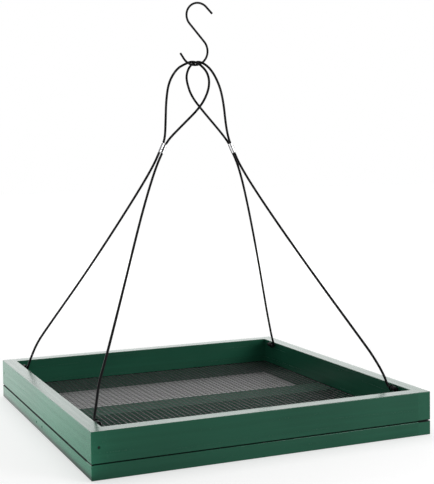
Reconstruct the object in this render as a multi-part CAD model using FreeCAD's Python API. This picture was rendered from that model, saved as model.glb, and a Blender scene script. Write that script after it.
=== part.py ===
"""Hanging platform bird feeder: a square tray of painted wood on two cables and an S-hook.

Millimetres, +Z up. The origin is under the middle of the tray, on the plane it stands on.
The front of the tray faces -Y and its left side faces -X.
"""
import FreeCAD, Part
import math
import os

from FreeCAD import Vector

# Tray frame
TRAY_SIDE = 300.0
RAIL_THICKNESS = 12.0
UPPER_HEIGHT = 24.2
LOWER_HEIGHT = 11.7
EDGE_ROUND = 0.5

# Mesh floor, clamped between the upper rails and the lower strips
MESH_THICKNESS = 0.8
MESH_INSET = 3.0
MESH_GAPS_ACROSS = 17
MESH_BAR = 2.0

# Slat that carries the mesh along its middle
SLAT_WIDTH = 30.0
SLAT_OFFSET = 5.0

# Brads through the corners and the slat's ends
BRAD_DIAMETER = 1.4
BRAD_HEAD = 2.2
BRAD_HEAD_HEIGHT = 1.0
BRAD_LENGTH = 25.0
BRAD_SET = 0.4
SLAT_BRAD_SPACING = 19.0

# Countersunk screws from below, through strip and mesh into the rails
SCREW_DIAMETER = 3.0
SCREW_HEAD = 5.6
SCREW_HEAD_HEIGHT = 1.7
SCREW_LENGTH = 28.0
SCREW_POINT = 4.0
SCREW_SET = 0.3
SCREW_FROM_MIDDLE = 90.0
RECESS_WIDTH = 0.8
RECESS_SPAN = 3.0
RECESS_DEPTH = 1.1

# Screw eyes in the inner faces of the side rails
EYE_WIRE = 1.2
EYE_BORE = 3.2
EYE_STANDOFF = 2.9
EYE_DROP = 2.8
EYE_FROM_CORNER = 24.0
EYE_EMBED = 10.0
EYE_POINT = 2.5

# Coated steel cable, its end stops and the double sleeves that close its loops
CABLE_DIAMETER = 2.2
CABLE_END_OVERHANG = 0.5
EYE_BEND_RADIUS = 5.4
EYE_BEND_SETBACK = 5.0
STOP_DIAMETER = 4.2
STOP_LENGTH = 6.0
STOP_GAP = 1.0
CRIMP_LENGTH = 9.5
CRIMP_WALL = 0.9
CRIMP_DROP = 76.0
CRIMP_LOWER_LEAD = 16.0
CRIMP_UPPER_LEAD = 4.0
CRIMP_BEND_RADIUS = 15.0
CRIMP_ROUND = 0.5
STRAND_PITCH = 2.8
ARC_SHARE = 0.45  # part of the shorter run that a free bend takes
LEFT_AIM = 4.0  # where each side's legs point, across the hook's seat
RIGHT_AIM = 0.8
LEFT_SLEEVE_TURN = 0.0  # degrees about each sleeve's length, from the plane of the loops
RIGHT_SLEEVE_TURN = -80.0

# S-hook, bent from round wire in the plane y = 0
HOOK_WIRE = 2.0
HOOK_SEAT_HEIGHT = 322.2
HOOK_LOWER_RADIUS = 13.0
HOOK_UPPER_RADIUS = 11.5
HOOK_BOW_SPACING = 32.3
HOOK_LEAN = 4.0
HOOK_LOWER_TIP_ANGLE = 49.0
HOOK_UPPER_TIP_ANGLE = 38.0
HOOK_LOWER_TIP = 6.0
HOOK_UPPER_TIP = 8.5
HOOK_TIP_ROUND = 0.6

# Clearances
FASTENER_CLEARANCE = 0.05
SLEEVE_CLEARANCE = 0.03
RUNNING_CLEARANCE = 0.3

# Loop routes: across, depth and height above the wire of the hook's lower bow.
# Each starts on the loop's outer strand, passes over the bow, and comes down the inner strand.
LEFT_LOOP = [
    (-28.6, 1.2, -50.5),
    (-27.3, 2.6, -32.5),
    (-23.4, 4.0, -16.5),
    (-14.8, 5.0, -3.9),
    (-7.0, 4.6, 1.6),
    (-2.0, 0.0, 3.5),
    (3.2, -4.6, 0.5),
    (9.8, -5.0, -6.7),
    (12.4, -4.6, -15.5),
    (10.4, -4.0, -26.4),
    (2.4, -3.0, -39.4),
    (-13.6, -1.4, -55.9),
]
RIGHT_LOOP = [
    (30.3, -1.2, -54.5),
    (27.4, -2.6, -35.0),
    (23.6, -4.0, -19.0),
    (15.6, -5.0, -5.0),
    (7.0, -4.6, 1.6),
    (2.0, 0.0, 3.5),
    (-3.0, 4.6, -0.3),
    (-5.8, 5.0, -8.8),
    (-5.4, 4.6, -17.0),
    (-2.2, 4.0, -27.0),
    (5.6, 3.0, -39.0),
]

HALF_SIDE = TRAY_SIDE / 2
INNER_HALF = HALF_SIDE - RAIL_THICKNESS
UPPER_BASE = LOWER_HEIGHT + MESH_THICKNESS
RIM_HEIGHT = UPPER_BASE + UPPER_HEIGHT
SIDE_NAMES = ("front", "right", "back", "left")
UP = Vector(0, 0, 1)
ORIGIN = Vector(0, 0, 0)


def turned(shape, quarter_turns):
    """A copy of a shape, turned about the tray's upright axis."""
    copy = shape.copy()
    copy.rotate(ORIGIN, UP, 90.0 * quarter_turns)
    return copy


def rounded_bar(length, width, height, corner):
    """A bar of planed wood with eased edges, from its lowest corner."""
    bar = Part.makeBox(length, width, height, corner)
    return bar.makeFillet(EDGE_ROUND, bar.Edges)


def square_tier(base, height):
    """One tier of the tray as a square frame with eased edges, sharp only in its inside corners."""
    outer = Part.makeBox(TRAY_SIDE, TRAY_SIDE, height, Vector(-HALF_SIDE, -HALF_SIDE, base))
    inner = Part.makeBox(2 * INNER_HALF, 2 * INNER_HALF, height, Vector(-INNER_HALF, -INNER_HALF, base))
    tier = outer.cut(inner)
    return tier.makeFillet(EDGE_ROUND, [edge for edge in tier.Edges if not inside_corner(edge)])


def inside_corner(edge):
    """Whether an edge of a square frame is one of the upright ones inside it."""
    upright = edge.BoundBox.ZLength > edge.BoundBox.XLength + edge.BoundBox.YLength
    return upright and abs(edge.CenterOfMass.x) < HALF_SIDE - EDGE_ROUND


def frame_bars(base, height):
    """The four bars of a tier, from the front one on; each covers the end of the next one."""
    tier = square_tier(base, height)
    corner = Vector(-HALF_SIDE, -HALF_SIDE, base)
    front = Part.makeBox(TRAY_SIDE - RAIL_THICKNESS, RAIL_THICKNESS, height, corner)
    return [tier.common(turned(front, k)) for k in range(4)]


def brad(start, direction, clearance=0.0):
    """A brad set just under the face it is driven from, or the hole that it needs."""
    mouth = BRAD_SET if clearance else 0.0
    head_at = start + direction * (BRAD_SET - mouth)
    extra = mouth + clearance
    head = Part.makeCylinder(BRAD_HEAD / 2 + clearance, BRAD_HEAD_HEIGHT + extra, head_at, direction)
    shank = Part.makeCylinder(BRAD_DIAMETER / 2 + clearance, BRAD_LENGTH + extra, head_at, direction)
    return head.fuse(shank).removeSplitter()


def corner_brads(clearance=0.0):
    """One brad for each corner, through a rail and into the end of the rail it covers."""
    start = Vector(-HALF_SIDE + RAIL_THICKNESS / 2, -HALF_SIDE, UPPER_BASE + UPPER_HEIGHT / 2)
    first = brad(start, Vector(0, 1, 0), clearance)
    return [turned(first, k) for k in range(4)]


def slat_brads(clearance=0.0):
    """Two brads at each end of the slat, driven through the side strips."""
    brads = []
    for side in (-1, 1):
        for offset in (-SLAT_BRAD_SPACING / 2, SLAT_BRAD_SPACING / 2):
            start = Vector(side * HALF_SIDE, SLAT_OFFSET + offset, LOWER_HEIGHT / 2)
            brads.append(brad(start, Vector(-side, 0, 0), clearance))
    return brads


def frame_screw(x, y, clearance=0.0):
    """A countersunk screw standing head down, or the hole that it needs."""
    head_radius = SCREW_HEAD / 2 + clearance
    shank_radius = SCREW_DIAMETER / 2 + clearance
    base = Vector(x, y, SCREW_SET)
    head = Part.makeCone(head_radius, shank_radius, SCREW_HEAD_HEIGHT, base)
    straight = SCREW_LENGTH - SCREW_POINT
    shank = Part.makeCylinder(shank_radius, straight, base)
    point = Part.makeCone(shank_radius, 0.0, SCREW_POINT + clearance, base + UP * straight)
    body = head.fuse([shank, point]).removeSplitter()
    if clearance:
        mouth = Part.makeCylinder(head_radius, SCREW_SET, Vector(x, y, 0))
        return body.fuse(mouth).removeSplitter()
    return body.cut(cross_recess(base))


def cross_recess(base):
    """The crossed slots in a screw's head."""
    slots = []
    for along_x, along_y in ((RECESS_SPAN, RECESS_WIDTH), (RECESS_WIDTH, RECESS_SPAN)):
        corner = base - Vector(along_x / 2, along_y / 2, 0)
        slots.append(Part.makeBox(along_x, along_y, RECESS_DEPTH, corner))
    return slots[0].fuse(slots[1])


def screw_places():
    """Where the screws stand, two along each strip, for all four strips."""
    middle = HALF_SIDE - RAIL_THICKNESS / 2
    places = []
    for along in (-SCREW_FROM_MIDDLE, SCREW_FROM_MIDDLE):
        places += [(along, -middle), (middle, along), (-along, middle), (-middle, -along)]
    return places


def frame_screws(clearance=0.0):
    return [frame_screw(x, y, clearance) for x, y in screw_places()]


def mesh_floor():
    """The mesh as one holed sheet, with clear holes for the screws in its clamped border."""
    half = HALF_SIDE - MESH_INSET
    outlines = [square_wire(0, 0, half)]
    pitch = 2 * INNER_HALF / MESH_GAPS_ACROSS
    gap_half = (pitch - MESH_BAR) / 2
    for row in range(MESH_GAPS_ACROSS):
        for column in range(MESH_GAPS_ACROSS):
            x = -INNER_HALF + pitch * (column + 0.5)
            y = -INNER_HALF + pitch * (row + 0.5)
            outlines.append(square_wire(x, y, gap_half))
    for x, y in screw_places():
        hole = Part.Circle(Vector(x, y, LOWER_HEIGHT), UP, SCREW_DIAMETER / 2 + FASTENER_CLEARANCE)
        outlines.append(Part.Wire(hole.toShape()))
    return Part.Face(outlines).extrude(UP * MESH_THICKNESS)


def square_wire(x, y, half):
    """A square outline in the plane of the mesh's underside."""
    corners = [(-half, -half), (half, -half), (half, half), (-half, half), (-half, -half)]
    return Part.makePolygon([Vector(x + a, y + b, LOWER_HEIGHT) for a, b in corners])


def cross_slat():
    corner = Vector(-INNER_HALF, SLAT_OFFSET - SLAT_WIDTH / 2, 0)
    return rounded_bar(2 * INNER_HALF, SLAT_WIDTH, LOWER_HEIGHT, corner)


def eye_centre(side, end):
    """The middle of a screw eye's ring: side -1 is left, end -1 is the front."""
    x = side * (INNER_HALF - EYE_STANDOFF)
    y = end * (INNER_HALF - EYE_FROM_CORNER)
    return Vector(x, y, RIM_HEIGHT - EYE_DROP)


def eye_ring_radius():
    return (EYE_BORE + EYE_WIRE) / 2


def screw_eye(side, end):
    """A screw eye: a ring that stands upright, and a pointed shank into the rail."""
    centre = eye_centre(side, end)
    ring = Part.makeTorus(eye_ring_radius(), EYE_WIRE / 2, centre, Vector(0, 1, 0))
    return ring.fuse(eye_shank(side, end)).removeSplitter()


def eye_shank(side, end, clearance=0.0):
    """The shank of a screw eye, from its ring to its point in the rail."""
    outward = Vector(side, 0, 0)
    start = eye_centre(side, end) + outward * eye_ring_radius()
    radius = EYE_WIRE / 2 + clearance
    straight = EYE_STANDOFF - eye_ring_radius() + EYE_EMBED - EYE_POINT
    shank = Part.makeCylinder(radius, straight, start, outward)
    point = Part.makeCone(radius, 0.0, EYE_POINT + clearance, start + outward * straight, outward)
    return shank.fuse(point).removeSplitter()


def pull_direction(side):
    """The way a side's cable pulls, in the plane y = 0, from its eyes to the hook."""
    eye = eye_centre(side, 0)
    aim = LEFT_AIM if side < 0 else RIGHT_AIM
    return Vector(aim - eye.x, 0, HOOK_SEAT_HEIGHT - eye.z).normalize()


def tail_line(side):
    """The line along which both tails of a side's cable lie in their eyes."""
    slack = EYE_BORE / 2 - CABLE_DIAMETER / 2 - RUNNING_CLEARANCE
    middle = eye_centre(side, 0) + pull_direction(side) * slack
    return Vector(middle.x, 0, middle.z)


def stop_start(end):
    """The depth at which an end stop begins, just outside its eye."""
    return end * (abs(eye_centre(1, end).y) + EYE_WIRE / 2 + STOP_GAP)


def tail_points(side, end):
    """The cable's free end past its stop, and the point where it turns up from the eye."""
    line = tail_line(side)
    free_end = stop_start(end) + end * (STOP_LENGTH + CABLE_END_OVERHANG)
    bend = eye_centre(side, end).y - end * EYE_BEND_SETBACK
    return [line + Vector(0, free_end, 0), line + Vector(0, bend, 0)]


def crimp_frame(side):
    """A crimp's middle, the way its bores run, and the way to its outer bore."""
    along = pull_direction(side)
    turn = LEFT_SLEEVE_TURN if side < 0 else RIGHT_SLEEVE_TURN
    across = FreeCAD.Rotation(along, turn).multVec(Vector(side * along.z, 0, side * -along.x))
    height = HOOK_SEAT_HEIGHT - CRIMP_DROP
    line = tail_line(side)
    middle = line + along * ((height - line.z) / along.z)
    return middle, along, across


def crimp_points(side, bore):
    """The route's points below and above a crimp's bore: 1 is the outer bore, -1 the inner."""
    middle, along, across = crimp_frame(side)
    strand = middle + across * (bore * STRAND_PITCH / 2)
    below = along * (CRIMP_LENGTH / 2 + CRIMP_LOWER_LEAD)
    above = along * (CRIMP_LENGTH / 2 + CRIMP_UPPER_LEAD)
    return [strand - below, strand + above]


def cable_route(side, loop):
    """The points of one side's cable, and the radius of each bend that a fitting sets."""
    first_end = -side
    points = tail_points(side, first_end)
    radii = [None, EYE_BEND_RADIUS]
    points += crimp_points(side, 1)
    radii += [None, CRIMP_BEND_RADIUS]
    points += [Vector(x, y, HOOK_SEAT_HEIGHT + z) for x, y, z in loop]
    radii += [None] * len(loop)
    points += reversed(crimp_points(side, -1))
    radii += [CRIMP_BEND_RADIUS, None]
    points += reversed(tail_points(side, -first_end))
    radii += [EYE_BEND_RADIUS, None]
    return points, radii


def bend_arc(before, corner, after, radius):
    """The tangent arc at one point of a route, as its start, middle and end, with its radius."""
    back = (before - corner).normalize()
    ahead = (after - corner).normalize()
    half_turn = (math.pi - back.getAngle(ahead)) / 2
    shorter = min((before - corner).Length, (after - corner).Length)
    if radius is None:
        radius = ARC_SHARE * shorter / math.tan(half_turn)
    reach = radius * math.tan(half_turn)
    inward = (back + ahead).normalize()
    middle = corner + inward * (radius / math.cos(half_turn) - radius)
    return corner + back * reach, middle, corner + ahead * reach, radius


def cord_path(points, radii):
    """A wire of straight runs and tangent arcs, and the radii of its arcs."""
    edges = []
    used = []
    place = points[0]
    for before, corner, after, radius in zip(points, points[1:], points[2:], radii[1:]):
        start, middle, end, bend = bend_arc(before, corner, after, radius)
        edges.append(Part.LineSegment(place, start).toShape())
        edges.append(Part.Arc(start, middle, end).toShape())
        used.append(round(bend, 1))
        place = end
    edges.append(Part.LineSegment(place, points[-1]).toShape())
    return Part.Wire(edges), used


def swept_round(path, diameter, start, direction):
    """A round bar along a path."""
    section = Part.Wire(Part.Circle(start, direction, diameter / 2).toShape())
    return path.makePipeShell([section], True, False)


def cable(name, side, loop):
    """One side's cable, with its length, radii and volume printed."""
    points, radii = cable_route(side, loop)
    path, used = cord_path(points, radii)
    tube = swept_round(path, CABLE_DIAMETER, points[0], points[1] - points[0])
    expected = math.pi * (CABLE_DIAMETER / 2) ** 2 * path.Length
    print(name, "length", round(path.Length, 1), "volume", round(tube.Volume, 1), "of", round(expected, 1))
    print("  radii", used)
    print("  points", [tuple(round(value, 2) for value in point) for point in points])
    return tube


def end_stop(side, end):
    """A sleeve pressed on the cable's end, outside its eye."""
    start = tail_line(side) + Vector(0, stop_start(end), 0)
    outward = Vector(0, end, 0)
    sleeve = Part.makeCylinder(STOP_DIAMETER / 2, STOP_LENGTH, start, outward)
    sleeve = sleeve.makeFillet(CRIMP_ROUND, [edge for edge in sleeve.Edges if edge.Closed])
    bore = Part.makeCylinder(CABLE_DIAMETER / 2 + SLEEVE_CLEARANCE, STOP_LENGTH, start, outward)
    return sleeve.cut(bore)


def crimp(side):
    """A double sleeve with two bores side by side, closing the cable's loop."""
    middle, along, across = crimp_frame(side)
    base = middle - along * (CRIMP_LENGTH / 2)
    depth = along.cross(across).normalize()
    half_gap = across * (STRAND_PITCH / 2)
    radius = CABLE_DIAMETER / 2 + CRIMP_WALL
    outer, inner = base + half_gap, base - half_gap
    edges = [
        Part.LineSegment(inner + depth * radius, outer + depth * radius).toShape(),
        Part.Arc(outer + depth * radius, outer + across * radius, outer - depth * radius).toShape(),
        Part.LineSegment(outer - depth * radius, inner - depth * radius).toShape(),
        Part.Arc(inner - depth * radius, inner - across * radius, inner + depth * radius).toShape(),
    ]
    sleeve = Part.Face(Part.Wire(edges)).extrude(along * CRIMP_LENGTH)
    flat = CRIMP_LENGTH / 2 - CRIMP_ROUND
    ends = [edge for edge in sleeve.Edges if abs((edge.CenterOfMass - middle).dot(along)) > flat]
    sleeve = sleeve.makeFillet(CRIMP_ROUND, ends)
    bore_radius = CABLE_DIAMETER / 2 + SLEEVE_CLEARANCE
    bores = [Part.makeCylinder(bore_radius, CRIMP_LENGTH, place, along) for place in (outer, inner)]
    return sleeve.cut(bores)


def on_circle(centre, radius, degrees):
    """A point of a bow's centreline, counted from +X towards +Z, and the way a tip leaves it there."""
    angle = math.radians(degrees)
    point = centre + Vector(math.cos(angle), 0, math.sin(angle)) * radius
    return point, Vector(math.sin(angle), 0, -math.cos(angle))


def s_hook():
    """Two opposed bows of round wire, joined by a straight shank, with straight open tips."""
    lower = Vector(0, 0, HOOK_SEAT_HEIGHT + HOOK_LOWER_RADIUS)
    upper = lower + Vector(HOOK_LEAN, 0, HOOK_BOW_SPACING)
    line = upper - lower
    rise = math.degrees(math.atan2(line.z, line.x))
    lean = rise - 90.0
    shank_at = rise - math.degrees(math.acos((HOOK_LOWER_RADIUS + HOOK_UPPER_RADIUS) / line.Length))
    lower_at = -90.0 - HOOK_LOWER_TIP_ANGLE + lean
    upper_at = 90.0 - HOOK_UPPER_TIP_ANGLE + lean
    start, start_way = on_circle(lower, HOOK_LOWER_RADIUS, lower_at)
    lower_middle, _ = on_circle(lower, HOOK_LOWER_RADIUS, (lower_at + shank_at) / 2)
    lower_end, _ = on_circle(lower, HOOK_LOWER_RADIUS, shank_at)
    upper_start, _ = on_circle(upper, HOOK_UPPER_RADIUS, shank_at + 180.0)
    upper_middle, _ = on_circle(upper, HOOK_UPPER_RADIUS, (shank_at + 180.0 + upper_at) / 2)
    end, end_way = on_circle(upper, HOOK_UPPER_RADIUS, upper_at)
    lower_tip = start + start_way * HOOK_LOWER_TIP
    upper_tip = end + end_way * HOOK_UPPER_TIP
    path = Part.Wire([
        Part.LineSegment(lower_tip, start).toShape(),
        Part.Arc(start, lower_middle, lower_end).toShape(),
        Part.LineSegment(lower_end, upper_start).toShape(),
        Part.Arc(upper_start, upper_middle, end).toShape(),
        Part.LineSegment(end, upper_tip).toShape(),
    ])
    bar = swept_round(path, HOOK_WIRE, lower_tip, start_way)
    rims = [edge for edge in bar.Edges if near_tip(edge, lower_tip, upper_tip)]
    return bar.makeFillet(HOOK_TIP_ROUND, rims)


def near_tip(edge, first, second):
    """Whether an edge is the rim of one of the hook's two cut ends."""
    middle = edge.CenterOfMass
    return min((middle - first).Length, (middle - second).Length) < HOOK_TIP_ROUND


def build():
    """Every node of the feeder, by name."""
    holes = corner_brads(FASTENER_CLEARANCE) + slat_brads(FASTENER_CLEARANCE)
    holes += frame_screws(FASTENER_CLEARANCE)
    eyes = [(side, end) for side in (-1, 1) for end in (-1, 1)]
    holes += [eye_shank(side, end, FASTENER_CLEARANCE) for side, end in eyes]
    nodes = {}
    for name, bar in zip(SIDE_NAMES, frame_bars(UPPER_BASE, UPPER_HEIGHT)):
        nodes["upper_%s_rail" % name] = drilled(bar, holes)
    for name, bar in zip(SIDE_NAMES, frame_bars(0.0, LOWER_HEIGHT)):
        nodes["lower_%s_strip" % name] = drilled(bar, holes)
    nodes["cross_slat"] = drilled(cross_slat(), holes)
    nodes["mesh_floor"] = mesh_floor()
    nodes["corner_brads"] = Part.makeCompound(corner_brads())
    nodes["slat_brads"] = Part.makeCompound(slat_brads())
    nodes["frame_screws"] = Part.makeCompound(frame_screws())
    for side, end in eyes:
        place = "%s_%s" % ("left" if side < 0 else "right", "front" if end < 0 else "back")
        nodes[place + "_eye"] = screw_eye(side, end)
        nodes[place + "_stop"] = end_stop(side, end)
    nodes["left_cable"] = cable("left_cable", -1, LEFT_LOOP)
    nodes["right_cable"] = cable("right_cable", 1, RIGHT_LOOP)
    nodes["left_crimp"] = crimp(-1)
    nodes["right_crimp"] = crimp(1)
    nodes["s_hook"] = s_hook()
    return nodes


def drilled(bar, holes):
    """A bar with the holes that reach it cut out."""
    reaching = [hole for hole in holes if hole.BoundBox.intersect(bar.BoundBox)]
    return bar.cut(reaching) if reaching else bar


os.makedirs("parts", exist_ok=True)
for node_name, node_shape in build().items():
    node_shape.exportStep("parts/%s.step" % node_name)
print("hook hinge height", HOOK_SEAT_HEIGHT)
for tail_name, tail_side in (("left", -1), ("right", 1)):
    print(tail_name, "tail line", tuple(round(value, 3) for value in tail_line(tail_side)))
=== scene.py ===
import math

import bpy
import numpy as np
from bpy.props import FloatProperty, FloatVectorProperty, IntProperty, PointerProperty
from mathutils import Matrix, Vector


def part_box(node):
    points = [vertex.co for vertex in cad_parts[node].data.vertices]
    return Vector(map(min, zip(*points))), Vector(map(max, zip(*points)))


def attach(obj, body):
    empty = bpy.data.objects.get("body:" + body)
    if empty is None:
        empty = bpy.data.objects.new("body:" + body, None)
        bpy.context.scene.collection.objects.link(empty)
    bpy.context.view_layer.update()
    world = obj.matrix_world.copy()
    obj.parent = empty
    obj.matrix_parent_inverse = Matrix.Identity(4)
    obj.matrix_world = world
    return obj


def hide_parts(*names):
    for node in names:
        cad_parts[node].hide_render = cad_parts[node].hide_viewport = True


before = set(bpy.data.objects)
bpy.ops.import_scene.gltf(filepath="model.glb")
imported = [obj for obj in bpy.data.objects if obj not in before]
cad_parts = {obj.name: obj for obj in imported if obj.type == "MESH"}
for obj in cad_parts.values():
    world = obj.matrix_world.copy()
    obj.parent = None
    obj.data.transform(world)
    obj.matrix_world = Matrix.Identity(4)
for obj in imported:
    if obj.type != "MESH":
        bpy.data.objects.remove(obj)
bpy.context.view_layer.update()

bl_info = {
    "name": "Platform Bird Feeder",
    "version": (1, 0, 0),
    "blender": (4, 5, 0),
    "location": "View3D > Sidebar > Bird Feeder",
    "description": "Looks of a hanging platform bird feeder, built on its CAD frame",
    "category": "Object",
}

# Bars whose grain runs from left to right, and those whose grain runs from front to back
BARS_ACROSS = ("upper_front_rail", "upper_back_rail", "lower_front_strip", "lower_back_strip")
BARS_DEEP = ("upper_left_rail", "upper_right_rail", "lower_left_strip", "lower_right_strip")
EYES = ("left_front_eye", "left_back_eye", "right_front_eye", "right_back_eye")
STOPS = ("left_front_stop", "left_back_stop", "right_front_stop", "right_back_stop")

# Heights of the tray's long edges, half widths of its outer and inner faces, and the spans from the middle over
# which the painted shade between the tiers sets in and the floor's lift begins
EDGE_HEIGHTS = (0.0, 0.0117, 0.0125, 0.0367)
EDGE_HALVES = (0.150, 0.138)
GAP_SHADE_SPAN = (EDGE_HALVES[0] - 0.005, EDGE_HALVES[0] - 0.003)
LIFT_SPAN = (EDGE_HALVES[1], EDGE_HALVES[0] - 0.002)

# Cable routes, from the free end in one eye, up a leg that bows a little near the tray, through one barrel of the
# sleeve, over the hook, and down through the other barrel and leg to the free end in the other eye
LEFT_ROUTE = (
    (-0.13501, 0.12210, 0.03408), (-0.13501, 0.11540, 0.03408), (-0.13501, 0.10850, 0.03408),
    (-0.13134, 0.10766, 0.04485), (-0.12726, 0.09852, 0.06041), (-0.11938, 0.09049, 0.07538),
    (-0.08930, 0.05529, 0.13157), (-0.06120, 0.02137, 0.18890), (-0.04295, 0.00000, 0.22812),
    (-0.03410, 0.00000, 0.24645), (-0.03013, 0.00000, 0.25469), (-0.02880, 0.00120, 0.27190),
    (-0.02750, 0.00260, 0.28970), (-0.02430, 0.00400, 0.30630), (-0.01590, 0.00500, 0.31890),
    (-0.00700, 0.00460, 0.32380), (-0.00200, 0.00000, 0.32570), (0.00320, -0.00460, 0.32270),
    (0.01020, -0.00500, 0.31580), (0.01280, -0.00460, 0.30640), (0.01040, -0.00400, 0.29520),
    (0.00290, -0.00300, 0.28270), (-0.01410, -0.00140, 0.26660), (-0.02761, 0.00000, 0.25347),
    (-0.03158, 0.00000, 0.24523), (-0.04042, 0.00000, 0.22690), (-0.06147, -0.02118, 0.18792),
    (-0.08983, -0.05488, 0.13097), (-0.11890, -0.08954, 0.07516), (-0.12661, -0.09639, 0.06028),
    (-0.13122, -0.10364, 0.04480), (-0.13501, -0.10850, 0.03408), (-0.13501, -0.11540, 0.03408),
    (-0.13501, -0.12210, 0.03408),
)
RIGHT_ROUTE = (
    (0.13502, -0.12210, 0.03408), (0.13502, -0.11540, 0.03408), (0.13502, -0.10850, 0.03408),
    (0.13146, -0.10774, 0.04481), (0.12579, -0.09941, 0.06032), (0.11823, -0.09069, 0.07523),
    (0.09002, -0.05619, 0.13125), (0.06239, -0.02257, 0.18840), (0.04519, -0.00138, 0.22749),
    (0.03659, -0.00138, 0.24594), (0.03273, -0.00138, 0.25423), (0.03010, -0.00120, 0.26770),
    (0.02750, -0.00260, 0.28740), (0.02330, -0.00400, 0.30300), (0.01520, -0.00500, 0.31710),
    (0.00700, -0.00460, 0.32380), (0.00200, 0.00000, 0.32570), (-0.00300, 0.00460, 0.32190),
    (-0.00650, 0.00500, 0.31340), (-0.00570, 0.00460, 0.30530), (-0.00220, 0.00400, 0.29470),
    (0.00590, 0.00300, 0.28360), (0.03229, 0.00138, 0.25403), (0.03615, 0.00138, 0.24574),
    (0.04475, 0.00138, 0.22729), (0.06404, 0.02227, 0.18824), (0.09110, 0.05599, 0.13116),
    (0.11755, 0.09118, 0.07519), (0.12405, 0.09850, 0.06030), (0.13034, 0.10533, 0.04480),
    (0.13502, 0.10850, 0.03408), (0.13502, 0.11540, 0.03408), (0.13502, 0.12210, 0.03408),
)

# Places in a route: in the eye, under and over the sleeve's outer barrel, and over its inner barrel
IN_EYE, UNDER_SLEEVE, OVER_SLEEVE, OVER_INNER = 1, 8, 10, -11

# Strands laid round each other in a cable
STRANDS = 6

# Sleeves: where they are pressed along their length, half the width of a pressed band, the step between rings,
# how far the waist between the barrels is drawn in, and the share of the spacing that is seam, coloured dark as
# painted shade
BAND_PLACES = (-0.0022, 0.0022)
BAND_REACH = 0.00055
RING_STEP = 0.00025
WAIST_DEPTH = 0.28
SEAM_SHARE = 0.3

# Soft lights: name, place, point that it faces, size, power in watts, and whether reflections show it
LIGHTS = (
    ("left_panel", (-0.553, 0.25, 0.002), (-0.553, 0.25, 1.0), (0.8, 0.9), 9.0, False),
    ("right_softbox", (0.5, -0.7, 0.25), (0.08, 0.0, 0.02), (0.4, 0.3), 3.8, True),
    ("top_softbox", (0.0, 0.3, 1.7), (0.0, 0.0, 0.0), (1.4, 1.4), 10.0, True),
    ("back_left_softbox", (-0.55, 1.5, 0.5), (-0.5, 0.0, 0.05), (1.1, 0.7), 6.1, True),
    ("back_right_softbox", (0.8, 1.5, 0.5), (0.85, 0.0, 0.05), (1.6, 0.7), 4.8, True),
)

# Floor: its depth under the feeder, the distances over which its lift grows, and the spans from front to back
# over which the floor and the sky come to show in reflections, the floor's with its share at each end
FLOOR_DROP = 0.0003
LIFT_REACH = (0.3, 1.3)
FLOOR_BACKDROP = (-0.35, 0.3, 0.0, 1.7)
SKY_BACKDROP = (-0.4, 0.3)

# Camera: picture size, focal length and optical centre in pixels, sensor width in millimetres, place in metres,
# direction, and roll in degrees
PICTURE_WIDTH, PICTURE_HEIGHT = 434, 484
FOCAL_LENGTH = 1022.78
OPTICAL_CENTRE = (196.36, 198.35)
SENSOR_WIDTH = 36.0
CAMERA_PLACE = (-0.3669, -0.8664, 0.2373)
CAMERA_AHEAD = (0.3897, 0.9201, -0.0396)
CAMERA_ROLL = -0.705


def new_group(name, inputs, outputs):
    """A shader node group with named sockets, and its two end nodes."""
    tree = bpy.data.node_groups.new(name, "ShaderNodeTree")
    for label, kind, value in inputs:
        socket = tree.interface.new_socket(name=label, in_out="INPUT", socket_type="NodeSocket" + kind)
        if value is not None:
            socket.default_value = value
    for label, kind in outputs:
        tree.interface.new_socket(name=label, in_out="OUTPUT", socket_type="NodeSocket" + kind)
    return tree, tree.nodes.new("NodeGroupInput"), tree.nodes.new("NodeGroupOutput")


def wire(tree, source, target):
    """Links a socket to a socket, or sets a plain value on it."""
    if isinstance(source, bpy.types.NodeSocket):
        tree.links.new(source, target)
    else:
        target.default_value = source


def calc(tree, operation, first, second=0.0, clamp=False):
    """One arithmetic step, as the socket of its result."""
    node = tree.nodes.new("ShaderNodeMath")
    node.operation = operation
    node.use_clamp = clamp
    wire(tree, first, node.inputs[0])
    wire(tree, second, node.inputs[1])
    return node.outputs[0]


def remap(tree, value, low, high, to_low=0.0, to_high=1.0):
    """A smooth step of a value from one span to another."""
    node = tree.nodes.new("ShaderNodeMapRange")
    node.interpolation_type = "SMOOTHSTEP"
    for socket, number in zip(node.inputs, (value, low, high, to_low, to_high)):
        wire(tree, number, socket)
    return node.outputs["Result"]


def noise(tree, vector, scale, detail=3.0, roughness=0.55):
    """Seeded noise at a scale in cycles per unit of its vector."""
    node = tree.nodes.new("ShaderNodeTexNoise")
    wire(tree, vector, node.inputs["Vector"])
    node.inputs["Scale"].default_value = scale
    node.inputs["Detail"].default_value = detail
    node.inputs["Roughness"].default_value = roughness
    return node.outputs["Fac"]


def mix_colour(tree, factor, first, second):
    """A blend of two colours."""
    node = tree.nodes.new("ShaderNodeMix")
    node.data_type = "RGBA"
    wire(tree, factor, node.inputs[0])
    wire(tree, first, node.inputs[6])
    wire(tree, second, node.inputs[7])
    return node.outputs[2]


def stretch(tree, vector, scale):
    """A vector with each axis multiplied."""
    node = tree.nodes.new("ShaderNodeVectorMath")
    node.operation = "MULTIPLY"
    wire(tree, vector, node.inputs[0])
    node.inputs[1].default_value = scale
    return node.outputs[0]


def split(tree, vector):
    """The node that holds a vector's three numbers."""
    node = tree.nodes.new("ShaderNodeSeparateXYZ")
    tree.links.new(vector, node.inputs[0])
    return node


def scaled(tree, value, share):
    """A share of a value."""
    return calc(tree, "MULTIPLY", value, share)


def swing(tree, value, amount):
    """A noise value as a change of up to half an amount, up or down."""
    return scaled(tree, calc(tree, "SUBTRACT", value, 0.5), amount)


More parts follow.
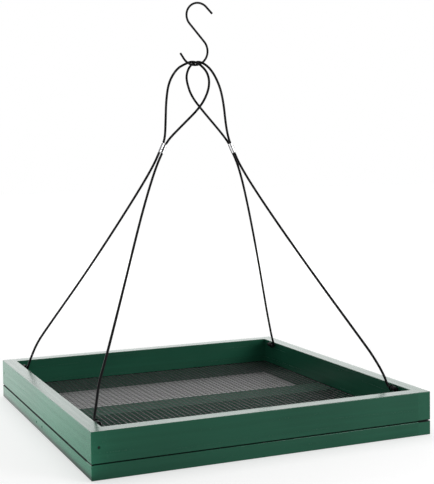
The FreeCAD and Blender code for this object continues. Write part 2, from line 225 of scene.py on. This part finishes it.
def from_middle(tree, parts):
    """The larger of a point's distances from the middle, across the tray and from front to back."""
    across = calc(tree, "ABSOLUTE", parts.outputs["X"])
    return calc(tree, "MAXIMUM", across, calc(tree, "ABSOLUTE", parts.outputs["Y"]))


def seen_and_mirrored(tree):
    """Masks of the camera's own rays, and of rays that come by a reflection or through glass."""
    path = tree.nodes.new("ShaderNodeLightPath")
    mirrored = calc(tree, "MAXIMUM", path.outputs["Is Glossy Ray"], path.outputs["Is Transmission Ray"])
    return path.outputs["Is Camera Ray"], mirrored


def painted_grain_group():
    """Brushed paint over planed wood: faint grain along X, drifts of tone and a fine stipple."""
    tree, start, end = new_group(
        "Painted Grain",
        [("Vector", "Vector", None), ("Paint", "Color", None), ("Shade", "Color", None), ("Gloss", "Float", 0.3)],
        [("Color", "Color"), ("Roughness", "Float"), ("Height", "Float")],
    )
    vector = start.outputs["Vector"]
    drift = noise(tree, vector, scale=9.0, detail=2.0)
    streaks = noise(tree, stretch(tree, vector, (7.0, 260.0, 260.0)), scale=1.0, detail=4.0, roughness=0.6)
    pores = noise(tree, stretch(tree, vector, (45.0, 1400.0, 1400.0)), scale=1.0, detail=2.0)
    stipple = noise(tree, vector, scale=900.0, detail=2.0)
    tone = calc(tree, "ADD", scaled(tree, drift, 0.6), scaled(tree, streaks, 0.4))
    colour = mix_colour(tree, remap(tree, tone, 0.36, 0.66), start.outputs["Paint"], start.outputs["Shade"])
    tree.links.new(colour, end.inputs["Color"])
    rough = calc(tree, "ADD", start.outputs["Gloss"], swing(tree, streaks, 0.22))
    speckled = calc(tree, "ADD", rough, swing(tree, stipple, 0.06), clamp=True)
    tree.links.new(speckled, end.inputs["Roughness"])
    ridges = calc(tree, "ADD", scaled(tree, streaks, 0.6), scaled(tree, pores, 0.04))
    height = calc(tree, "ADD", ridges, scaled(tree, stipple, 0.1))
    tree.links.new(height, end.inputs["Height"])
    return tree


def near_any(tree, value, places, reach):
    """How near a value is to the closest of some places, from 0 to 1."""
    best = None
    for place in places:
        gap = calc(tree, "ABSOLUTE", calc(tree, "SUBTRACT", value, place))
        close = remap(tree, gap, 0.0, reach, 1.0, 0.0)
        best = close if best is None else calc(tree, "MAXIMUM", best, close)
    return best


def edge_wear_and_gap_shade_group():
    """Masks of rubbed spots on the tray's eased edges and of painted shade in the gap between its tiers."""
    tree, start, end = new_group(
        "Edge Wear and Gap Shade",
        [("Vector", "Vector", None), ("Reach", "Float", 0.0016), ("Gap", "Float", 0.0006)],
        [("Rub", "Float"), ("Gap Shade", "Float")],
    )
    parts = split(tree, start.outputs["Vector"])
    reach = start.outputs["Reach"]
    across = near_any(tree, calc(tree, "ABSOLUTE", parts.outputs["X"]), EDGE_HALVES, reach)
    deep = near_any(tree, calc(tree, "ABSOLUTE", parts.outputs["Y"]), EDGE_HALVES, reach)
    level = near_any(tree, parts.outputs["Z"], EDGE_HEIGHTS, reach)
    upright = calc(tree, "MULTIPLY", across, deep)
    flat = calc(tree, "MULTIPLY", level, calc(tree, "MAXIMUM", across, deep))
    edge = calc(tree, "MAXIMUM", upright, flat)
    blotches = noise(tree, start.outputs["Vector"], scale=160.0, detail=4.0, roughness=0.65)
    patches = remap(tree, blotches, 0.52, 0.72)
    tree.links.new(calc(tree, "MULTIPLY", edge, patches, clamp=True), end.inputs["Rub"])
    # A dark band of painted shade along the gap between the tiers, on the outer faces only
    middle = (EDGE_HEIGHTS[1] + EDGE_HEIGHTS[2]) / 2
    away = calc(tree, "ABSOLUTE", calc(tree, "SUBTRACT", parts.outputs["Z"], middle))
    deepest = calc(tree, "ADD", start.outputs["Gap"], (EDGE_HEIGHTS[2] - EDGE_HEIGHTS[1]) / 2)
    gap_shade = remap(tree, away, scaled(tree, deepest, 0.7), scaled(tree, deepest, 1.15), 1.0, 0.0)
    outside = remap(tree, from_middle(tree, parts), *GAP_SHADE_SPAN)
    tree.links.new(calc(tree, "MULTIPLY", gap_shade, outside), end.inputs["Gap Shade"])
    return tree


def handled_metal_group():
    """Fine scuffs and cloudy patches on metal or its coat."""
    tree, start, end = new_group(
        "Handled Metal",
        [("Vector", "Vector", None), ("Base", "Color", None), ("Scuffed", "Color", None),
         ("Gloss", "Float", 0.35), ("Scuffs", "Float", 0.5)],
        [("Color", "Color"), ("Roughness", "Float"), ("Height", "Float")],
    )
    vector = start.outputs["Vector"]
    cloud = noise(tree, vector, scale=70.0, detail=3.0)
    fine = noise(tree, vector, scale=1300.0, detail=3.0, roughness=0.65)
    marks = noise(tree, stretch(tree, vector, (500.0, 500.0, 120.0)), scale=1.0, detail=5.0, roughness=0.7)
    scuffs = remap(tree, marks, 0.56, 0.72)
    mask = calc(tree, "MULTIPLY", scuffs, start.outputs["Scuffs"], clamp=True)
    tree.links.new(mix_colour(tree, mask, start.outputs["Base"], start.outputs["Scuffed"]), end.inputs["Color"])
    uneven = calc(tree, "ADD", start.outputs["Gloss"], swing(tree, cloud, 0.25))
    rough = calc(tree, "ADD", uneven, scaled(tree, mask, 0.15))
    tree.links.new(calc(tree, "MAXIMUM", rough, 0.08), end.inputs["Roughness"])
    tree.links.new(calc(tree, "ADD", scaled(tree, fine, 0.7), cloud), end.inputs["Height"])
    return tree


def group_once(maker, name):
    """A node group by name, made the first time it is asked for."""
    return bpy.data.node_groups.get(name) or maker()


def new_material(name):
    """A material with its tree, its Principled shader and object coordinates."""
    material = bpy.data.materials.new(name)
    material.use_nodes = True
    tree = material.node_tree
    shader = tree.nodes["Principled BSDF"]
    place = tree.nodes.new("ShaderNodeTexCoord")
    return material, tree, shader, place.outputs["Object"]


def place_group(tree, group, **values):
    """A group node with some of its inputs linked or set."""
    node = tree.nodes.new("ShaderNodeGroup")
    node.node_tree = group
    for label, value in values.items():
        wire(tree, value, node.inputs[label])
    return node


def add_bump(tree, shader, height, strength, distance):
    """A bump from a height to a shader's normal."""
    bump = tree.nodes.new("ShaderNodeBump")
    bump.inputs["Strength"].default_value = strength
    bump.inputs["Distance"].default_value = distance
    tree.links.new(height, bump.inputs["Height"])
    tree.links.new(bump.outputs["Normal"], shader.inputs["Normal"])


def green_paint(name, deep, settings, roughness):
    """Green paint on a bar whose grain runs across the tray, or from front to back, with painted shade along the
    gap between the tiers.
    """
    material, tree, shader, place = new_material(name)
    along = place
    if deep:
        parts = split(tree, place)
        turned = tree.nodes.new("ShaderNodeCombineXYZ")
        for target, source in zip(turned.inputs, ("Y", "X", "Z")):
            tree.links.new(parts.outputs[source], target)
        along = turned.outputs[0]
    grain = place_group(
        tree, group_once(painted_grain_group, "Painted Grain"), Vector=along,
        Paint=(*settings.paint, 1.0), Shade=(*settings.shade, 1.0), Gloss=roughness,
    )
    wear_and_gap_shade = place_group(
        tree, group_once(edge_wear_and_gap_shade_group, "Edge Wear and Gap Shade"), Vector=place, Reach=settings.rub_reach,
        Gap=settings.side_gap_shade if deep else settings.front_gap_shade,
    )
    worn = scaled(tree, wear_and_gap_shade.outputs["Rub"], settings.rub_amount)
    colour = mix_colour(tree, worn, grain.outputs["Color"], (*settings.rubbed, 1.0))
    # Painted shade darkens the paint along the gap between the tiers
    colour = mix_colour(tree, wear_and_gap_shade.outputs["Gap Shade"], colour, (*settings.gap_shade, 1.0))
    tree.links.new(colour, shader.inputs["Base Color"])
    dull = scaled(tree, wear_and_gap_shade.outputs["Gap Shade"], 0.75)
    tree.links.new(calc(tree, "MAXIMUM", grain.outputs["Roughness"], dull), shader.inputs["Roughness"])
    shader.inputs["IOR"].default_value = settings.index
    add_bump(tree, shader, grain.outputs["Height"], settings.relief, distance=0.0004)
    return material


def handled_metal(name, base, scuffed, roughness, scuffs, metallic, ior=1.5, relief=0.12):
    """A metal or coated-metal finish with scuffs, in relief unless that is 0."""
    material, tree, shader, place = new_material(name)
    shader.inputs["Metallic"].default_value = metallic
    shader.inputs["IOR"].default_value = ior
    marks = place_group(
        tree, group_once(handled_metal_group, "Handled Metal"), Vector=place,
        Base=(*base, 1.0), Scuffed=(*scuffed, 1.0), Gloss=roughness, Scuffs=scuffs,
    )
    tree.links.new(marks.outputs["Color"], shader.inputs["Base Color"])
    tree.links.new(marks.outputs["Roughness"], shader.inputs["Roughness"])
    if relief:
        add_bump(tree, shader, marks.outputs["Height"], relief, distance=0.0001)
    return material


def dress(nodes, material):
    """Gives CAD nodes a material."""
    for name in nodes:
        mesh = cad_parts[name].data
        mesh.materials.clear()
        mesh.materials.append(material)


def new_piece(name, data, body, slot, *replaced):
    """An object of the feeder that rides on a body and stands for CAD nodes."""
    piece = bpy.data.objects.new(name, data)
    bpy.context.scene.collection.objects.link(piece)
    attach(piece, body)
    if replaced:
        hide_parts(*replaced)
    return piece


class FeederPaintSettings(bpy.types.PropertyGroup):
    """Paint of the bars, its wear and the painted shade in the gap between its tiers"""
    paint: FloatVectorProperty(name="Paint", description="Colour of the green paint", subtype="COLOR", size=3,
                               min=0.0, max=1.0, default=(0.0135, 0.090, 0.052))
    shade: FloatVectorProperty(name="Shade", description="Darker tone in the paint", subtype="COLOR", size=3,
                               min=0.0, max=1.0, default=(0.0095, 0.072, 0.041))
    rubbed: FloatVectorProperty(name="Rubbed", description="Paint where edges are rubbed", subtype="COLOR", size=3,
                                min=0.0, max=1.0, default=(0.040, 0.135, 0.090))
    # Near-black green of the brad heads: their green paint plus painted shade in the dimples
    brad_paint_and_shade: FloatVectorProperty(name="Brad", description="Paint in the brads' dimples", subtype="COLOR", size=3,
                              min=0.0, max=1.0, default=(0.003, 0.014, 0.009))
    roughness: FloatProperty(name="Roughness", description="Roughness of the paint", subtype="FACTOR",
                             min=0.0, max=1.0, default=0.24)
    slat_roughness: FloatProperty(name="Slat Roughness", description="Roughness of the dusty slat",
                                  subtype="FACTOR", min=0.0, max=1.0, default=0.8)
    index: FloatProperty(name="Index", description="Refractive index of the paint", min=1.0, max=2.0, default=1.33)
    relief: FloatProperty(name="Relief", description="Strength of the grain under the paint", subtype="FACTOR",
                          min=0.0, max=1.0, default=0.05)
    rub_reach: FloatProperty(name="Rub Reach", description="Width of the rubbed edges", subtype="DISTANCE",
                             unit="LENGTH", min=0.0, default=0.0016)
    rub_amount: FloatProperty(name="Rub Amount", description="How far rubbed edges change colour",
                              subtype="FACTOR", min=0.0, max=1.0, default=0.45)
    # Colour of the painted shade in the gap between the tiers, and how far it reaches on the side bars and on the
    # front and back bars
    gap_shade: FloatVectorProperty(name="Gap Shade", description="Dark grime in the gap between the tiers",
                               subtype="COLOR", size=3, min=0.0, max=1.0, default=(0.002, 0.006, 0.004))
    side_gap_shade: FloatProperty(name="Side Grime", description="Reach of the grime on the side bars", unit="LENGTH",
                              subtype="DISTANCE", min=0.0, default=0.0007)
    front_gap_shade: FloatProperty(name="Front Grime", description="Reach of the grime on the front and back bars",
                               unit="LENGTH", subtype="DISTANCE", min=0.0, default=0.0001)


class FeederMetalSettings(bpy.types.PropertyGroup):
    """Coat and plating of the hook, eyes, stops and screws"""
    black: FloatVectorProperty(name="Black Coat", description="Coat of the hook and eyes", subtype="COLOR", size=3,
                               min=0.0, max=1.0, default=(0.0045, 0.0045, 0.005))
    zinc: FloatVectorProperty(name="Zinc", description="Plating of the screws", subtype="COLOR", size=3,
                              min=0.0, max=1.0, default=(0.56, 0.56, 0.54))


class FeederSleeveSettings(bpy.types.PropertyGroup):
    """Size and finish of the pressed sleeves"""
    length: FloatProperty(name="Length", description="Length of a sleeve", subtype="DISTANCE", unit="LENGTH",
                          min=0.001, default=0.0095)
    diameter: FloatProperty(name="Barrel", description="Diameter of one barrel", subtype="DISTANCE", unit="LENGTH",
                            min=0.0005, default=0.0040)
    spacing: FloatProperty(name="Spacing", description="Distance between the two barrels", subtype="DISTANCE",
                           unit="LENGTH", min=0.0001, default=0.0028)
    rim: FloatProperty(name="Rim", description="Rounding of the sleeve's ends", subtype="DISTANCE", unit="LENGTH",
                       min=0.0, default=0.0005)
    press: FloatProperty(name="Press", description="Depth of the pressed bands as a share of the thickness",
                         subtype="FACTOR", min=0.0, max=0.5, default=0.04)
    colour: FloatVectorProperty(name="Colour", description="Colour of the aluminium", subtype="COLOR", size=3,
                                min=0.0, max=1.0, default=(0.76, 0.76, 0.77))
    # Dark colour of the seam between the barrels: painted shade in the crease
    seam: FloatVectorProperty(name="Seam", description="Grime in the seam between the barrels", subtype="COLOR",
                              size=3, min=0.0, max=1.0, default=(0.12, 0.12, 0.12))


class FeederMeshSettings(bpy.types.PropertyGroup):
    """Wires of the woven floor"""
    wires: IntProperty(name="Wires", description="Wires each way in the woven floor", min=4, max=120, default=60)
    wire: FloatProperty(name="Wire", description="Diameter of the woven wire", subtype="DISTANCE", unit="LENGTH",
                        min=0.0001, default=0.0005)
    sides: IntProperty(name="Sides", description="Faces round each wire", min=3, max=16, default=6)
    colour: FloatVectorProperty(name="Colour", description="Coat of the woven wire", subtype="COLOR", size=3,
                                min=0.0, max=1.0, default=(0.014, 0.014, 0.015))


class FeederCableSettings(bpy.types.PropertyGroup):
    """Thickness, lay and coat of the cables"""
    diameter: FloatProperty(name="Diameter", description="Diameter of the coated cable", subtype="DISTANCE",
                            unit="LENGTH", min=0.0003, default=0.0022)
    lay: FloatProperty(name="Lay", description="Rise in which a strand goes once round", subtype="DISTANCE",
                       unit="LENGTH", min=0.001, default=0.011)
    coat: FloatVectorProperty(name="Coat", description="Plastic coat of the cable", subtype="COLOR", size=3,
                              min=0.0, max=1.0, default=(0.0035, 0.0035, 0.004))


class FeederStageSettings(bpy.types.PropertyGroup):
    """Floor and even light of the stage"""
    floor_size: FloatProperty(name="Floor Size", description="Side of the floor", subtype="DISTANCE",
                              unit="LENGTH", min=1.0, default=12.0)
    floor_colour: FloatVectorProperty(name="Floor", description="Colour of the floor", subtype="COLOR", size=3,
                                      min=0.0, max=1.0, default=(0.5, 0.5, 0.5))
    floor_glow: FloatProperty(name="Floor Glow", description="Lift of the floor towards white", min=0.0, max=1.0,
                              default=0.55)
    far_glow: FloatProperty(name="Far Glow", description="Lift of the floor far from the feeder", min=0.0, max=1.0,
                            default=0.82)
    ambient: FloatProperty(name="Ambient", description="Strength of the even light", min=0.0, default=0.33)


class FEEDER_OT_paint_bars(bpy.types.Operator):
    """Paint the rails, the strips and the slat"""
    bl_idname = "feeder.paint_bars"
    bl_label = "Paint Bars"

    def execute(self, context):
        settings = context.scene.feeder_paint
        dress(BARS_ACROSS, green_paint("green_paint_across", False, settings, settings.roughness))
        dress(BARS_DEEP, green_paint("green_paint_deep", True, settings, settings.roughness))
        dress(("cross_slat",), green_paint("green_paint_dusty", False, settings, settings.slat_roughness))
        return {"FINISHED"}


class FEEDER_OT_finish_fasteners(bpy.types.Operator):
    """Finish the painted-over brads, darkened with painted shade in their dimples, and the plated screws"""
    bl_idname = "feeder.finish_fasteners"
    bl_label = "Finish Fasteners"

    def execute(self, context):
        paint = context.scene.feeder_paint
        metal = context.scene.feeder_metal
        # The brad heads get a near-black green: paint over the brads plus painted shade in their dimples
        shaded_brad_paint = handled_metal(
            "brad_paint_and_shade_finish", paint.brad_paint_and_shade, paint.shade, roughness=0.5, scuffs=0.4, metallic=0.0, ior=1.33,
        )
        dress(("corner_brads", "slat_brads"), shaded_brad_paint)
        plated = handled_metal(
            "zinc_plate", metal.zinc, (0.3, 0.29, 0.26), roughness=0.34, scuffs=0.5, metallic=1.0,
        )
        dress(("frame_screws",), plated)
        return {"FINISHED"}


class FEEDER_OT_finish_wire(bpy.types.Operator):
    """Finish the S-hook, the screw eyes and the cables' end stops"""
    bl_idname = "feeder.finish_wire"
    bl_label = "Finish Hook and Eyes"

    def execute(self, context):
        metal = context.scene.feeder_metal
        scuffed = (0.012, 0.012, 0.0125)
        for name, nodes, roughness, ior in (
            ("black_coat", ("s_hook",), 0.4, 1.22), ("dull_black_coat", EYES + STOPS, 0.5, 1.1),
        ):
            dress(nodes, handled_metal(name, metal.black, scuffed, roughness, scuffs=0.5, metallic=0.0, ior=ior))
        return {"FINISHED"}


class FEEDER_OT_weave_floor(bpy.types.Operator):
    """Weave the wire floor in place of the plain sheet"""
    bl_idname = "feeder.weave_floor"
    bl_label = "Weave Floor"

    def execute(self, context):
        settings = context.scene.feeder_mesh
        low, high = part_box("mesh_floor")
        radius = settings.wire / 2
        half = high.x - radius
        middle = (low.z + high.z) / 2
        room = (high.z - low.z) / 2 - radius
        rows = np.linspace(-half, half, settings.wires)
        pitch = rows[1] - rows[0]
        stations = np.concatenate(([-high.x], np.linspace(-half, half, 2 * settings.wires - 1), [high.x]))
        angles = np.linspace(0.0, 2 * math.pi, settings.sides, endpoint=False)
        points = []
        for deep in (False, True):
            for index, row in enumerate(rows):
                side = 1.0 if (index + deep) % 2 else -1.0
                sway = side * room * np.cos(math.pi * (stations + half) / pitch)
                for station, lift in zip(stations, sway):
                    for angle in angles:
                        aside = row + radius * math.cos(angle)
                        height = middle + lift + radius * math.sin(angle)
                        points.append((aside, station, height) if deep else (station, aside, height))
        faces = []
        count = len(stations)
        sides = settings.sides
        for strand in range(2 * settings.wires):
            base = strand * count * sides
            for step in range(count - 1):
                for k in range(sides):
                    a = base + step * sides + k
                    b = base + step * sides + (k + 1) % sides
                    faces.append((a, b, b + sides, a + sides))
            faces.append(tuple(base + k for k in range(sides)))
            faces.append(tuple(base + (count - 1) * sides + k for k in range(sides)))
        mesh = bpy.data.meshes.new("woven_floor")
        mesh.from_pydata(points, [], faces)
        mesh.validate()
        mesh.shade_smooth()
        coat = handled_metal(
            "woven_wire_coat", settings.colour, (0.05, 0.05, 0.05), roughness=0.42, scuffs=0.4, metallic=0.0,
        )
        mesh.materials.append(coat)
        new_piece("woven_floor", mesh, "tray", "black_mesh", "mesh_floor")
        return {"FINISHED"}


class FEEDER_OT_lay_cables(bpy.types.Operator):
    """Lay the two coated cables along their routes"""
    bl_idname = "feeder.lay_cables"
    bl_label = "Lay Cables"

    def execute(self, context):
        settings = context.scene.feeder_cable
        coat = self.twisted_coat(settings)
        for side, route in (("left", LEFT_ROUTE), ("right", RIGHT_ROUTE)):
            curve = bpy.data.curves.new(side + "_cable_line", "CURVE")
            curve.dimensions = "3D"
            spline = curve.splines.new("NURBS")
            spline.points.add(len(route) - 1)
            for point, place in zip(spline.points, route):
                point.co = (*place, 1.0)
            spline.order_u = 3
            spline.use_endpoint_u = True
            spline.resolution_u = 10
            curve.bevel_depth = settings.diameter / 2
            curve.bevel_resolution = 3
            curve.use_fill_caps = True
            curve.materials.append(coat)
            cable = new_piece(side + "_coated_cable", curve, side + "_hanger", "black_cable", side + "_cable")
        return {"FINISHED"}

    def twisted_coat(self, settings):
        """A thin black coat that shows the lay of the strands under it."""
        coat = handled_metal(
            "cable_coat", settings.coat, (0.008, 0.008, 0.008), roughness=0.45, scuffs=0.3, metallic=0.0,
            ior=1.2, relief=0.0,
        )
        tree = coat.node_tree
        place = tree.nodes.new("ShaderNodeTexCoord")
        parts = split(tree, place.outputs["Object"])
        facing = split(tree, place.outputs["Normal"])
        turn = calc(tree, "ARCTAN2", facing.outputs["Y"], facing.outputs["X"])
        around = scaled(tree, turn, STRANDS / 2)
        climb = scaled(tree, parts.outputs["Z"], math.pi * STRANDS / settings.lay)
        strands = calc(tree, "ABSOLUTE", calc(tree, "SINE", calc(tree, "ADD", around, climb)))
        add_bump(tree, tree.nodes["Principled BSDF"], strands, strength=0.6, distance=0.00012)
        return coat


class FEEDER_OT_press_sleeves(bpy.types.Operator):
    """Press the double-barrel sleeves that close the cable loops"""
    bl_idname = "feeder.press_sleeves"
    bl_label = "Press Sleeves"

    def execute(self, context):
        settings = context.scene.feeder_sleeve
        bright = handled_metal(
            "bright_aluminium", settings.colour, (0.5, 0.5, 0.5), roughness=0.26, scuffs=0.5, metallic=1.0,
        )
        # The seam between the barrels is coloured dark as painted shade in its crease
        seam = handled_metal(
            "seam_painted_shade", settings.seam, (0.2, 0.2, 0.2), roughness=0.6, scuffs=0.6, metallic=0.6,
        )
        seam_half = SEAM_SHARE * settings.spacing
        for side, route in (("left", LEFT_ROUTE), ("right", RIGHT_ROUTE)):
            low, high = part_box(side + "_crimp")
            along = (Vector(route[OVER_SLEEVE]) - Vector(route[UNDER_SLEEVE])).normalized()
            across = (Vector(route[OVER_SLEEVE]) - Vector(route[OVER_INNER])).normalized()
            turn = Matrix((across, along.cross(across), along)).transposed().to_4x4()
            mesh = bpy.data.meshes.new(side + "_sleeve")
            local, faces = self.shape(settings)
            mesh.from_pydata(local, [], faces)
            mesh.transform(Matrix.Translation((low + high) / 2) @ turn)
            mesh.validate()
            mesh.shade_smooth()
            mesh.materials.append(bright)
            mesh.materials.append(seam)
            # Faces of the waist between the barrels take the seam's painted shade
            for face in mesh.polygons:
                aside = max(abs(local[k][0]) for k in face.vertices)
                if aside < seam_half and len(face.vertices) == 4:
                    face.material_index = 1
            new_piece(side + "_sleeve", mesh, side + "_hanger", "sleeve_aluminium", side + "_crimp")
        return {"FINISHED"}

    def shape(self, settings):
        """Rings of two barrels side by side, drawn in at the rims and at two pressed bands."""
        half = settings.length / 2
        rim = settings.rim
        turns = np.radians(np.linspace(0.0, 90.0, 5))
        ends = half - rim + rim * np.sin(turns)
        stations = np.concatenate((-ends[::-1], np.arange(-half + rim, half - rim, RING_STEP)[1:], ends))
        spread = settings.spacing / 2
        quarter = np.radians(np.linspace(-90.0, 90.0, 13))
        arc = np.column_stack((np.full(13, spread), np.cos(quarter), np.sin(quarter)))
        flat = np.linspace(spread, -spread, 9)[1:-1]
        top = np.column_stack((flat, np.zeros(7), np.ones(7)))
        outline = np.concatenate((arc, top, arc * (-1, -1, -1), top * (-1, -1, -1)))
        points = []
        for station in stations:
            over = max(0.0, abs(station) - (half - rim))
            inset = rim - math.sqrt(max(0.0, rim * rim - over * over))
            radius = settings.diameter / 2 - inset
            press = sum(math.exp(-((station - place) / BAND_REACH) ** 2) for place in BAND_PLACES)
            for base, outward, lift in outline:
                waist = WAIST_DEPTH * (1.0 - abs(base) / spread) ** 1.5
                thin = 1.0 - waist - settings.press * press
                points.append((base + radius * outward, radius * lift * thin, station))
        count = len(outline)
        faces = [
            (ring * count + k, ring * count + (k + 1) % count,
             (ring + 1) * count + (k + 1) % count, (ring + 1) * count + k)
            for ring in range(len(stations) - 1) for k in range(count)
        ]
        faces.append(tuple(range(count))[::-1])
        faces.append(tuple(range((len(stations) - 1) * count, len(stations) * count)))
        return points, faces


def soft_light(name, place, target, size, power, mirrored):
    """A rectangular soft light that faces a point, seen in reflections or not."""
    lamp = bpy.data.lights.new(name, "AREA")
    lamp.shape = "RECTANGLE"
    lamp.size, lamp.size_y = size
    lamp.energy = power
    light = bpy.data.objects.new(name, lamp)
    bpy.context.scene.collection.objects.link(light)
    light.location = place
    light.rotation_euler = (Vector(target) - Vector(place)).to_track_quat("-Z", "Y").to_euler()
    light.visible_camera = False
    light.visible_glossy = mirrored


class FEEDER_OT_set_stage(bpy.types.Operator):
    """Set the floor, the light and the camera"""
    bl_idname = "feeder.set_stage"
    bl_label = "Set Stage"

    def execute(self, context):
        scene = context.scene
        settings = scene.feeder_stage
        scene.view_settings.view_transform = "Standard"
        self.make_floor(settings)
        self.make_world(scene, settings)
        for light in LIGHTS:
            soft_light(*light)
        self.make_camera(scene)
        return {"FINISHED"}

    def make_floor(self, settings):
        """A pale floor that shows white where the feeder casts no shadow, and is unlifted under the tray."""
        half = settings.floor_size / 2
        mesh = bpy.data.meshes.new("studio_floor")
        corners = [(-half, -half, 0.0), (half, -half, 0.0), (half, half, 0.0), (-half, half, 0.0)]
        mesh.from_pydata(corners, [], [(0, 1, 2, 3)])
        floor = bpy.data.objects.new("studio_floor", mesh)
        bpy.context.scene.collection.objects.link(floor)
        floor.location.z = -FLOOR_DROP
        material, tree, shader, place = new_material("studio_floor")
        shader.inputs["Base Color"].default_value = (*settings.floor_colour, 1.0)
        shader.inputs["Roughness"].default_value = 0.9
        parts = split(tree, place)
        backdrop = remap(tree, parts.outputs["Y"], *FLOOR_BACKDROP)
        direct, mirrored = seen_and_mirrored(tree)
        seen = calc(tree, "MAXIMUM", direct, calc(tree, "MULTIPLY", mirrored, backdrop))
        reach = tree.nodes.new("ShaderNodeVectorMath")
        reach.operation = "LENGTH"
        tree.links.new(place, reach.inputs[0])
        lift = remap(tree, reach.outputs["Value"], *LIFT_REACH, settings.floor_glow, settings.far_glow)
        beyond_tray = remap(tree, from_middle(tree, parts), *LIFT_SPAN)
        lift = calc(tree, "MULTIPLY", lift, beyond_tray)
        glow = tree.nodes.new("ShaderNodeEmission")
        tree.links.new(calc(tree, "MULTIPLY", seen, lift), glow.inputs["Strength"])
        both = tree.nodes.new("ShaderNodeAddShader")
        tree.links.new(shader.outputs[0], both.inputs[0])
        tree.links.new(glow.outputs[0], both.inputs[1])
        tree.links.new(both.outputs[0], tree.nodes["Material Output"].inputs["Surface"])
        mesh.materials.append(material)

    def make_world(self, scene, settings):
        """Even light, with a white background for what the camera and reflections see."""
        world = bpy.data.worlds.new("studio_world")
        world.use_nodes = True
        scene.world = world
        tree = world.node_tree
        back = tree.nodes["Background"]
        back.inputs["Color"].default_value = (1.0, 1.0, 1.0, 1.0)
        parts = split(tree, tree.nodes.new("ShaderNodeTexCoord").outputs["Generated"])
        backdrop = remap(tree, parts.outputs["Y"], *SKY_BACKDROP, settings.ambient, 1.0)
        direct, mirrored = seen_and_mirrored(tree)
        seen = calc(tree, "MAXIMUM", direct, calc(tree, "MULTIPLY", mirrored, backdrop))
        tree.links.new(calc(tree, "MAXIMUM", seen, settings.ambient), back.inputs["Strength"])

    def make_camera(self, scene):
        """The photograph's viewpoint."""
        data = bpy.data.cameras.new("photo_camera")
        data.sensor_fit = "HORIZONTAL"
        data.sensor_width = SENSOR_WIDTH
        data.lens = FOCAL_LENGTH * SENSOR_WIDTH / PICTURE_WIDTH
        data.shift_x = (PICTURE_WIDTH / 2 - OPTICAL_CENTRE[0]) / PICTURE_WIDTH
        data.shift_y = (OPTICAL_CENTRE[1] - PICTURE_HEIGHT / 2) / PICTURE_WIDTH
        camera = bpy.data.objects.new("photo_camera", data)
        scene.collection.objects.link(camera)
        ahead = Vector(CAMERA_AHEAD).normalized()
        level = ahead.cross(Vector((0.0, 0.0, 1.0))).normalized()
        above = level.cross(ahead)
        roll = math.radians(CAMERA_ROLL)
        right = level * math.cos(roll) + above * math.sin(roll)
        up = right.cross(ahead)
        turn = Matrix((right, up, -ahead)).transposed().to_4x4()
        camera.matrix_world = Matrix.Translation(CAMERA_PLACE) @ turn
        scene.camera = camera


class FEEDER_PT_sidebar(bpy.types.Panel):
    """Settings and steps of the feeder"""
    bl_label = "Bird Feeder"
    bl_idname = "FEEDER_PT_sidebar"
    bl_space_type = "VIEW_3D"
    bl_region_type = "UI"
    bl_category = "Bird Feeder"

    def draw(self, context):
        for name, kind in SETTINGS:
            box = self.layout.box()
            for key in kind.__annotations__:
                box.prop(getattr(context.scene, name), key)
        for operator in OPERATORS:
            self.layout.operator(operator.bl_idname)


SETTINGS = (
    ("feeder_paint", FeederPaintSettings),
    ("feeder_metal", FeederMetalSettings),
    ("feeder_sleeve", FeederSleeveSettings),
    ("feeder_mesh", FeederMeshSettings),
    ("feeder_cable", FeederCableSettings),
    ("feeder_stage", FeederStageSettings),
)
OPERATORS = (
    FEEDER_OT_paint_bars,
    FEEDER_OT_finish_fasteners,
    FEEDER_OT_finish_wire,
    FEEDER_OT_weave_floor,
    FEEDER_OT_press_sleeves,
    FEEDER_OT_lay_cables,
    FEEDER_OT_set_stage,
)


def register():
    for name, kind in SETTINGS:
        bpy.utils.register_class(kind)
        setattr(bpy.types.Scene, name, PointerProperty(type=kind))
    for kind in OPERATORS + (FEEDER_PT_sidebar,):
        bpy.utils.register_class(kind)


def unregister():
    for kind in (FEEDER_PT_sidebar,) + OPERATORS[::-1]:
        bpy.utils.unregister_class(kind)
    for name, kind in SETTINGS[::-1]:
        delattr(bpy.types.Scene, name)
        bpy.utils.unregister_class(kind)


def main():
    register()
    bpy.ops.feeder.paint_bars()
    bpy.ops.feeder.finish_fasteners()
    bpy.ops.feeder.finish_wire()
    bpy.ops.feeder.weave_floor()
    bpy.ops.feeder.press_sleeves()
    bpy.ops.feeder.lay_cables()
    bpy.ops.feeder.set_stage()


if __name__ == "__main__":
    main()
